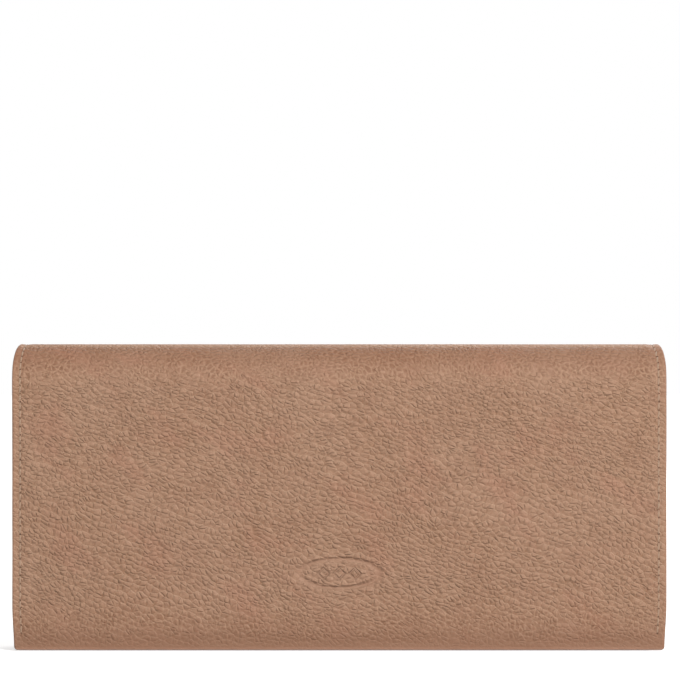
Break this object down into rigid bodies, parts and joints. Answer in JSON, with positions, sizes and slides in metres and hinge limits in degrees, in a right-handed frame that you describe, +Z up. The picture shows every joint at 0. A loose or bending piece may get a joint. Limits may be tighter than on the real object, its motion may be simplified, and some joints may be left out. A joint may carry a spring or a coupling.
{
  "type": "long wallet",
  "caption": "Long flap wallet of pebbled tan leather: top-folding flap with press stud, card rows, two note compartments and a zipped coin pocket.",
  "frame": {"origin": "centre of the closed wallet's base, where it stands on its bottom fold", "axes": "+Z up, flap side faces -Y, +X along the width"},
  "size_m": [0.19, 0.024, 0.089],
  "materials": {
    "outer_leather": "satin",
    "smooth_leather": "satin",
    "lining_cloth": "matte",
    "zip_tape": "matte",
    "board": "matte",
    "snap_metal": "polished",
    "zip_metal": "satin"
  },
  "bodies": {
    "back": {"back_cover": "outer_leather", "back_stiffener": "board", "back_lining": "lining_cloth", "left_gusset": "lining_cloth", "right_gusset": "lining_cloth"},
    "spine": {"spine_cover": "outer_leather", "spine_lining": "smooth_leather"},
    "flap": {"flap_cover": "outer_leather", "flap_stiffener": "board", "flap_lining": "smooth_leather", "snap_socket": "snap_metal", "flap_card_row_1": "smooth_leather", "flap_card_row_2": "smooth_leather", "flap_card_row_3": "smooth_leather"},
    "panel": {"front_panel": "outer_leather", "panel_card_row_1": "smooth_leather", "panel_card_row_2": "smooth_leather", "panel_card_row_3": "smooth_leather", "panel_card_row_4": "smooth_leather", "snap_stud": "snap_metal", "snap_washer": "snap_metal"},
    "coin_pocket": {"coin_front_wall": "smooth_leather", "coin_rear_wall": "smooth_leather", "coin_bag": "lining_cloth", "zip_tape_front": "zip_tape", "zip_tape_rear": "zip_tape", "zip_teeth_front": "zip_metal", "zip_teeth_rear": "zip_metal", "zip_closed_stop": "zip_metal", "zip_open_stop": "zip_metal"},
    "slider": {"zip_slider": "zip_metal"},
    "pull": {"zip_pull": "zip_metal", "zip_pull_tab": "outer_leather"}
  },
  "joints": [
    {"name": "spine_fold", "type": "hinge", "parent": "back", "child": "spine", "pos_m": [0, 0.0081, 0.0851], "axis": [-1, 0, 0], "range_deg": [0, 90]},
    {"name": "flap_fold", "type": "hinge", "parent": "spine", "child": "flap", "pos_m": [0, -0.0081, 0.0851], "axis": [-1, 0, 0], "range_deg": [0, 90]},
    {"name": "panel_fan", "type": "hinge", "parent": "back", "child": "panel", "pos_m": [0, -0.0059, 0.0006], "axis": [1, 0, 0], "range_deg": [0, 10], "deforming": ["left_gusset", "right_gusset"]},
    {"name": "coin_fan", "type": "hinge", "parent": "back", "child": "coin_pocket", "pos_m": [0, 0.00235, 0.0016], "axis": [1, 0, 0], "range_deg": [0, 5]},
    {"name": "zip_slide", "type": "slide", "parent": "coin_pocket", "child": "slider", "axis": [1, 0, 0], "range_m": [0, 0.14]},
    {"name": "pull_swing", "type": "hinge", "parent": "slider", "child": "pull", "pos_m": [-0.07, 0.00235, 0.0658], "axis": [0, -1, 0], "range_deg": [0, 180]}
  ],
  "couplings": [
    {"joint": "flap_fold", "follows": "spine_fold", "ratio": 1},
    {"joint": "panel_fan", "follows": "spine_fold", "ratio": 0.111},
    {"joint": "coin_fan", "follows": "spine_fold", "ratio": 0.0555}
  ]
}
